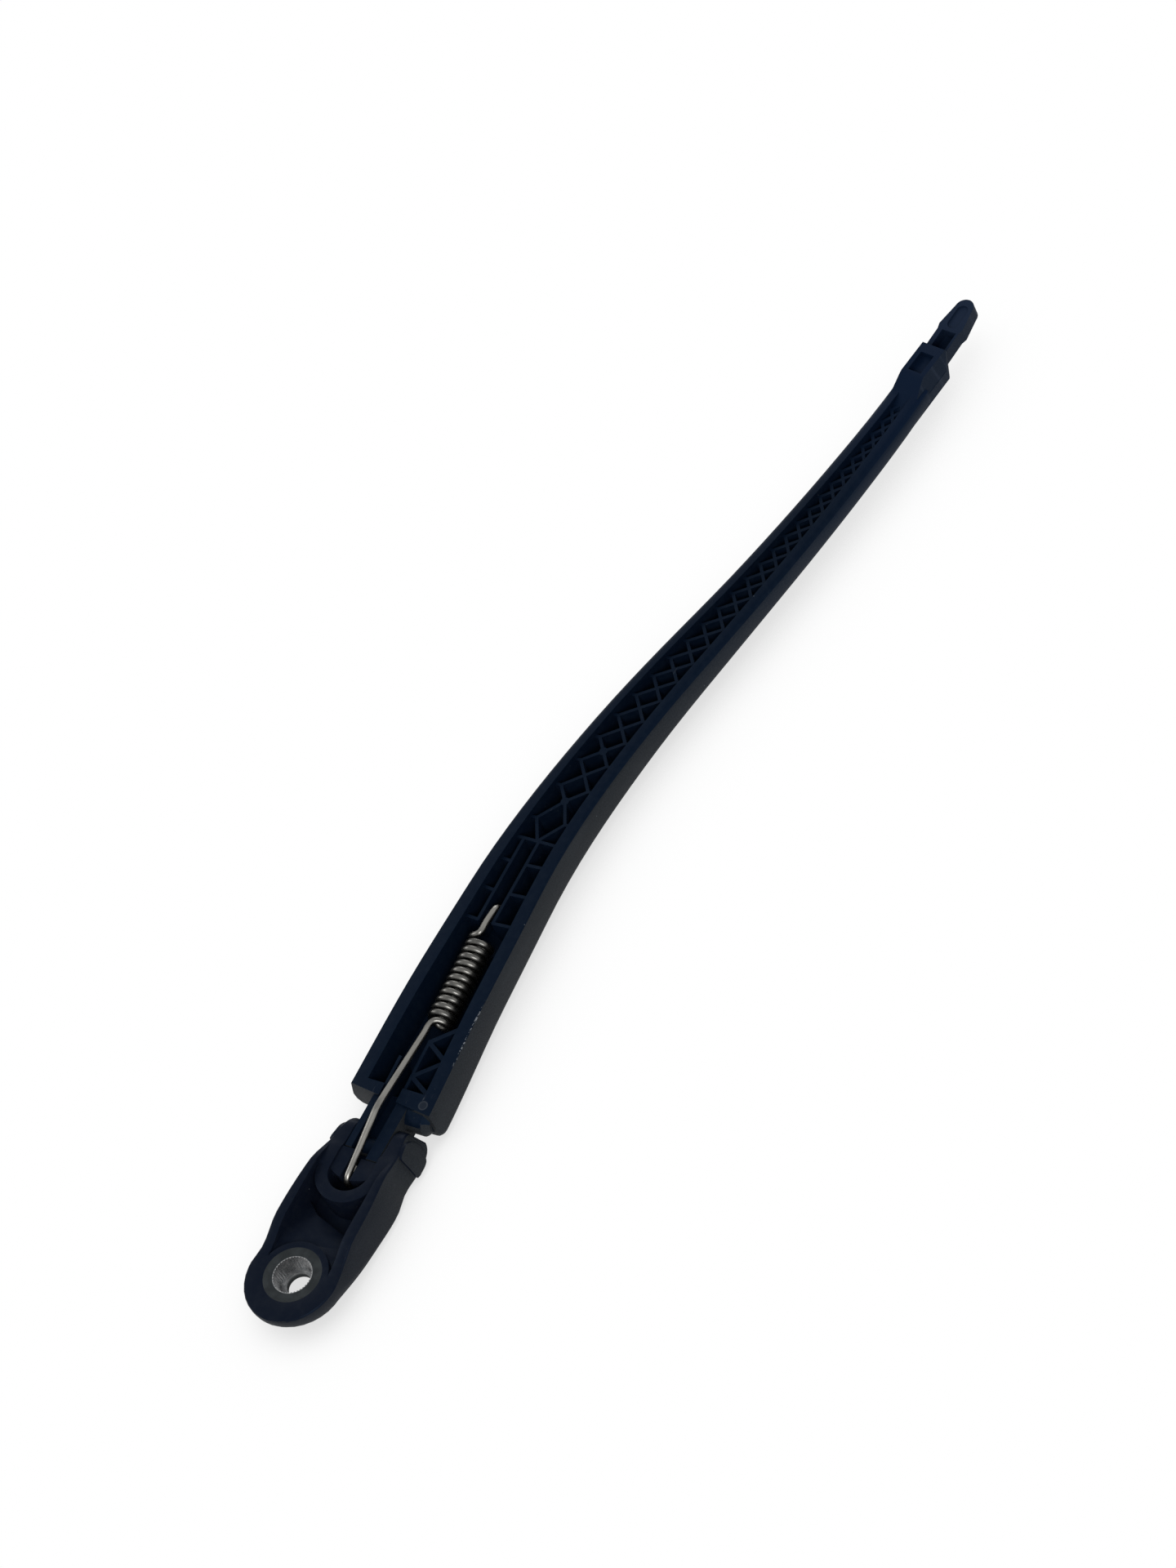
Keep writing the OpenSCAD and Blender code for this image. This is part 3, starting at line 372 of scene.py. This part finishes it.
# Sizes and places in millimetres, as the CAD has them
MOUTH = 8.5
WIRE_R, COIL_R, TURNS, PITCH = 1.15, 3.95, 12, 2.7
SIDE = 0.8
COIL_X, COIL_Z0, COIL_Z1 = 99.2, MOUTH - 4, MOUTH - 2
COIL_FIRST, COIL_LAST = 115, 65 + 360 * TURNS
LOW_BAR = (39.5, MOUTH - 3.4)
HIGH_BAR = (141.4, MOUTH - 1.4)
HOOK_R = 2.75
CRANK_START, CRANK_END = (58.3, SIDE, MOUTH + 3.3), (65.8, SIDE, MOUTH + 3.9)
COIL_IN = (COIL_X - 6.5, SIDE + 0.6, COIL_Z0 + COIL_R + 0.5)
HOOK_IN = (HIGH_BAR[0] - 4, SIDE, HIGH_BAR[1] + HOOK_R + 0.5)
POINT_STEP = 0.4
WIRE_BRIGHT, WIRE_DULL = (0.21, 0.205, 0.190, 1), (0.14, 0.137, 0.128, 1)
# Painted shade: darker colours for the close-wound coil, deep in the arm's channel
COIL_SHADE_BRIGHT, COIL_SHADE_DULL = (0.115, 0.113, 0.106, 1), (0.075, 0.075, 0.072, 1)
COIL_SHADE_FROM, COIL_SHADE_TO = (0.094, 0.101), (0.130, 0.135)


def hook(bar, first, last, count):
    """Part of a turn round a bar, between two angles in degrees."""
    angles = [math.radians(first + (last - first) * i / count) for i in range(count + 1)]
    return [Vector((bar[0] + HOOK_R * math.cos(a), SIDE, bar[1] + HOOK_R * math.sin(a))) for a in angles]


def turn(degrees):
    """The point of the coil at an angle counted on from its start."""
    t = (degrees - 90) / 360 / TURNS
    a = math.radians(degrees)
    z = COIL_Z0 + (COIL_Z1 - COIL_Z0) * t
    return Vector((COIL_X + t * TURNS * PITCH, SIDE + COIL_R * math.cos(a), z + COIL_R * math.sin(a)))


def bend(p0, d0, p1, d1, reach, count):
    """A smooth bend from p0, leaving along d0, to p1, arriving along d1, without its two ends."""
    p0, d0, p1, d1 = map(Vector, (p0, d0, p1, d1))
    a, b = p0 + d0 * reach, p1 - d1 * reach
    points = []
    for i in range(1, count):
        t = i / count
        q = 1 - t
        points.append(p0 * q ** 3 + a * 3 * t * q * q + b * 3 * t * t * q + p1 * t ** 3)
    return points


line = hook(LOW_BAR, 380, 108, 30)
line += bend(CRANK_START, (1, 0, 0.27), CRANK_END, (1, 0, -0.08), 2.5, 12)
line += bend(COIL_IN, (1, 0, -0.06), turn(COIL_FIRST), (0.15, -0.95, -0.3), 3.4, 14)
line += [turn(a) for a in range(COIL_FIRST, COIL_LAST, 10)]
line += bend(turn(COIL_LAST), (0.15, -0.95, 0.3), HOOK_IN, (1, 0, -0.1), 3.4, 14)
line += hook(HIGH_BAR, 95, -60, 18)

# Points at even steps, then eight passes that round off what corners are left
even = [line[0]]
for a, b in zip(line, line[1:]):
    steps = max(1, round((b - a).length / POINT_STEP))
    even += [a.lerp(b, (i + 1) / steps) for i in range(steps)]
for _ in range(8):
    inner = [(a + b * 2 + c) / 4 for a, b, c in zip(even, even[1:], even[2:])]
    even = [even[0]] + inner + [even[-1]]

wire = bpy.data.curves.new("spring_wire", "CURVE")
wire.dimensions = "3D"
wire.bevel_depth = WIRE_R * MM
wire.bevel_resolution = 5
wire.use_fill_caps = True
spline = wire.splines.new("POLY")
spline.points.add(len(even) - 1)
for point, place in zip(spline.points, even):
    point.co = (*(place * MM), 1)
spring = bpy.data.objects.new("spring", wire)
bpy.context.scene.collection.objects.link(spring)
bpy.ops.object.select_all(action="DESELECT")
spring.select_set(True)
bpy.context.view_layer.objects.active = spring
bpy.ops.object.convert(target="MESH")
spring = bpy.context.view_layer.objects.active
bpy.ops.object.shade_smooth_by_angle(angle=math.radians(50))

m = Nodes("drawn_spring_steel")
streak = m.noise(900, 3, (0.15, 1, 1))
bare_wire = m.mix(m.ramp(streak, 0.45, 0.75), WIRE_BRIGHT, WIRE_DULL)
# Painted shade: the close-wound coil, deep in the arm's channel, is made darker
shaded_coil = m.mix(m.ramp(m.noise(420, 3), 0.4, 0.7), COIL_SHADE_BRIGHT, COIL_SHADE_DULL)
along = m.add("ShaderNodeSeparateXYZ", {0: m.place}).outputs[0]
in_coil = m.math("MULTIPLY", m.ramp(along, *COIL_SHADE_FROM), m.ramp(along, *COIL_SHADE_TO, 1.0, 0.0))
m.link(m.mix(in_coil, bare_wire, shaded_coil), "Base Color")
m.link(m.math("MULTIPLY_ADD", m.noise(500, 3), 0.12, 0.25), "Roughness")
m.shader.inputs["Metallic"].default_value = 1.0
spring.data.materials.clear()
spring.data.materials.append(m.material)
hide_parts("tension_spring")
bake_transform(spring)


# ---------------------------------------------------------------------------------------------
# Table: plain white. The camera sees only the soft shadow on it, and all else meets its white.

TABLE_WHITE = (0.86, 0.86, 0.86, 1)
TABLE_TOP = cad_box[0][2] - 0.3 * MM
SHADOW_REACH = 0.035

bpy.ops.object.select_all(action="DESELECT")
bpy.ops.mesh.primitive_plane_add(size=4, location=(0.2, 0, TABLE_TOP))
table = bpy.context.view_layer.objects.active
table.name = "table"
m = Nodes("white_table")
tree = m.tree
white = m.add("ShaderNodeBsdfDiffuse", {"Color": TABLE_WHITE})
near = m.add("ShaderNodeAmbientOcclusion", {"Distance": SHADOW_REACH}, samples=12)
veil = m.ramp(near.outputs["AO"], 0.25, 0.97, 0.72, 1.0)
clear = m.add("ShaderNodeBsdfTransparent", {"Color": veil})
ray = m.add("ShaderNodeLightPath").outputs
mirrored = m.math("MAXIMUM", ray["Is Glossy Ray"], ray["Is Transmission Ray"])
seen = m.math("MAXIMUM", ray["Is Camera Ray"], mirrored)
both = m.add("ShaderNodeMixShader", {0: seen, 1: white.outputs[0], 2: clear.outputs[0]})
tree.links.new(both.outputs[0], tree.nodes["Material Output"].inputs["Surface"])
table.data.materials.append(m.material)


# ---------------------------------------------------------------------------------------------
# Light: one large soft lamp on the camera's side, two weaker ones from the left and from beyond
# the tip, and a dim bluish sky that camera and mirror rays see as white.

SKY_BLUE, SKY_STRENGTH = (0.62, 0.78, 1.0, 1), 0.22
AIM = (0.15, 0, 0)


def soft_lamp(name, place, aim, size, power):
    lamp = bpy.data.lights.new(name, "AREA")
    lamp.shape = "DISK"
    lamp.size = size
    lamp.energy = power
    holder = bpy.data.objects.new(name, lamp)
    holder.location = place
    holder.rotation_euler = (Vector(aim) - Vector(place)).to_track_quat("-Z", "Y").to_euler()
    bpy.context.scene.collection.objects.link(holder)


soft_lamp("key_lamp", (-0.9, -1.0, 1.3), AIM, 1.1, 24)
soft_lamp("left_lamp", (-0.2, 1.6, 0.9), AIM, 0.8, 7)
soft_lamp("back_lamp", (1.7, 0.7, 0.35), (0.20, 0, 0), 0.9, 7)

world = bpy.data.worlds.new("studio")
bpy.context.scene.world = world
world.use_nodes = True
tree = world.node_tree
tree.nodes.clear()
ray = tree.nodes.new("ShaderNodeLightPath")
mirrored = tree.nodes.new("ShaderNodeMath")
mirrored.operation = "MAXIMUM"
seen = tree.nodes.new("ShaderNodeMath")
seen.operation = "MAXIMUM"
dim = tree.nodes.new("ShaderNodeBackground")
dim.inputs["Color"].default_value = SKY_BLUE
dim.inputs["Strength"].default_value = SKY_STRENGTH
bright = tree.nodes.new("ShaderNodeBackground")
bright.inputs["Color"].default_value = (1, 1, 1, 1)
pick = tree.nodes.new("ShaderNodeMixShader")
sky = tree.nodes.new("ShaderNodeOutputWorld")
tree.links.new(ray.outputs["Is Glossy Ray"], mirrored.inputs[0])
tree.links.new(ray.outputs["Is Transmission Ray"], mirrored.inputs[1])
tree.links.new(ray.outputs["Is Camera Ray"], seen.inputs[0])
tree.links.new(mirrored.outputs[0], seen.inputs[1])
tree.links.new(seen.outputs[0], pick.inputs[0])
tree.links.new(dim.outputs[0], pick.inputs[1])
tree.links.new(bright.outputs[0], pick.inputs[2])
tree.links.new(pick.outputs[0], sky.inputs["Surface"])


# ---------------------------------------------------------------------------------------------
# Camera: a long lens from above the head's end, looking down along the arm.

RIGHT = Vector((0.451083, -0.837396, -0.308694))
DOWN = Vector((-0.797740, -0.223225, -0.560163))
AHEAD = Vector((0.400170, 0.498938, -0.768717))
CAMERA_PLACE = (-0.659824, -1.072977, 1.652449)
lens = bpy.data.cameras.new("long_lens")
lens.sensor_width = 36
lens.lens = 150
lens.clip_start = 0.05
camera = bpy.data.objects.new("camera", lens)
turned = Matrix((RIGHT, -DOWN, -AHEAD)).transposed().to_4x4()
camera.matrix_world = Matrix.Translation(CAMERA_PLACE) @ turned
bpy.context.scene.collection.objects.link(camera)
bpy.context.scene.camera = camera
bpy.context.scene.view_settings.view_transform = "Standard"
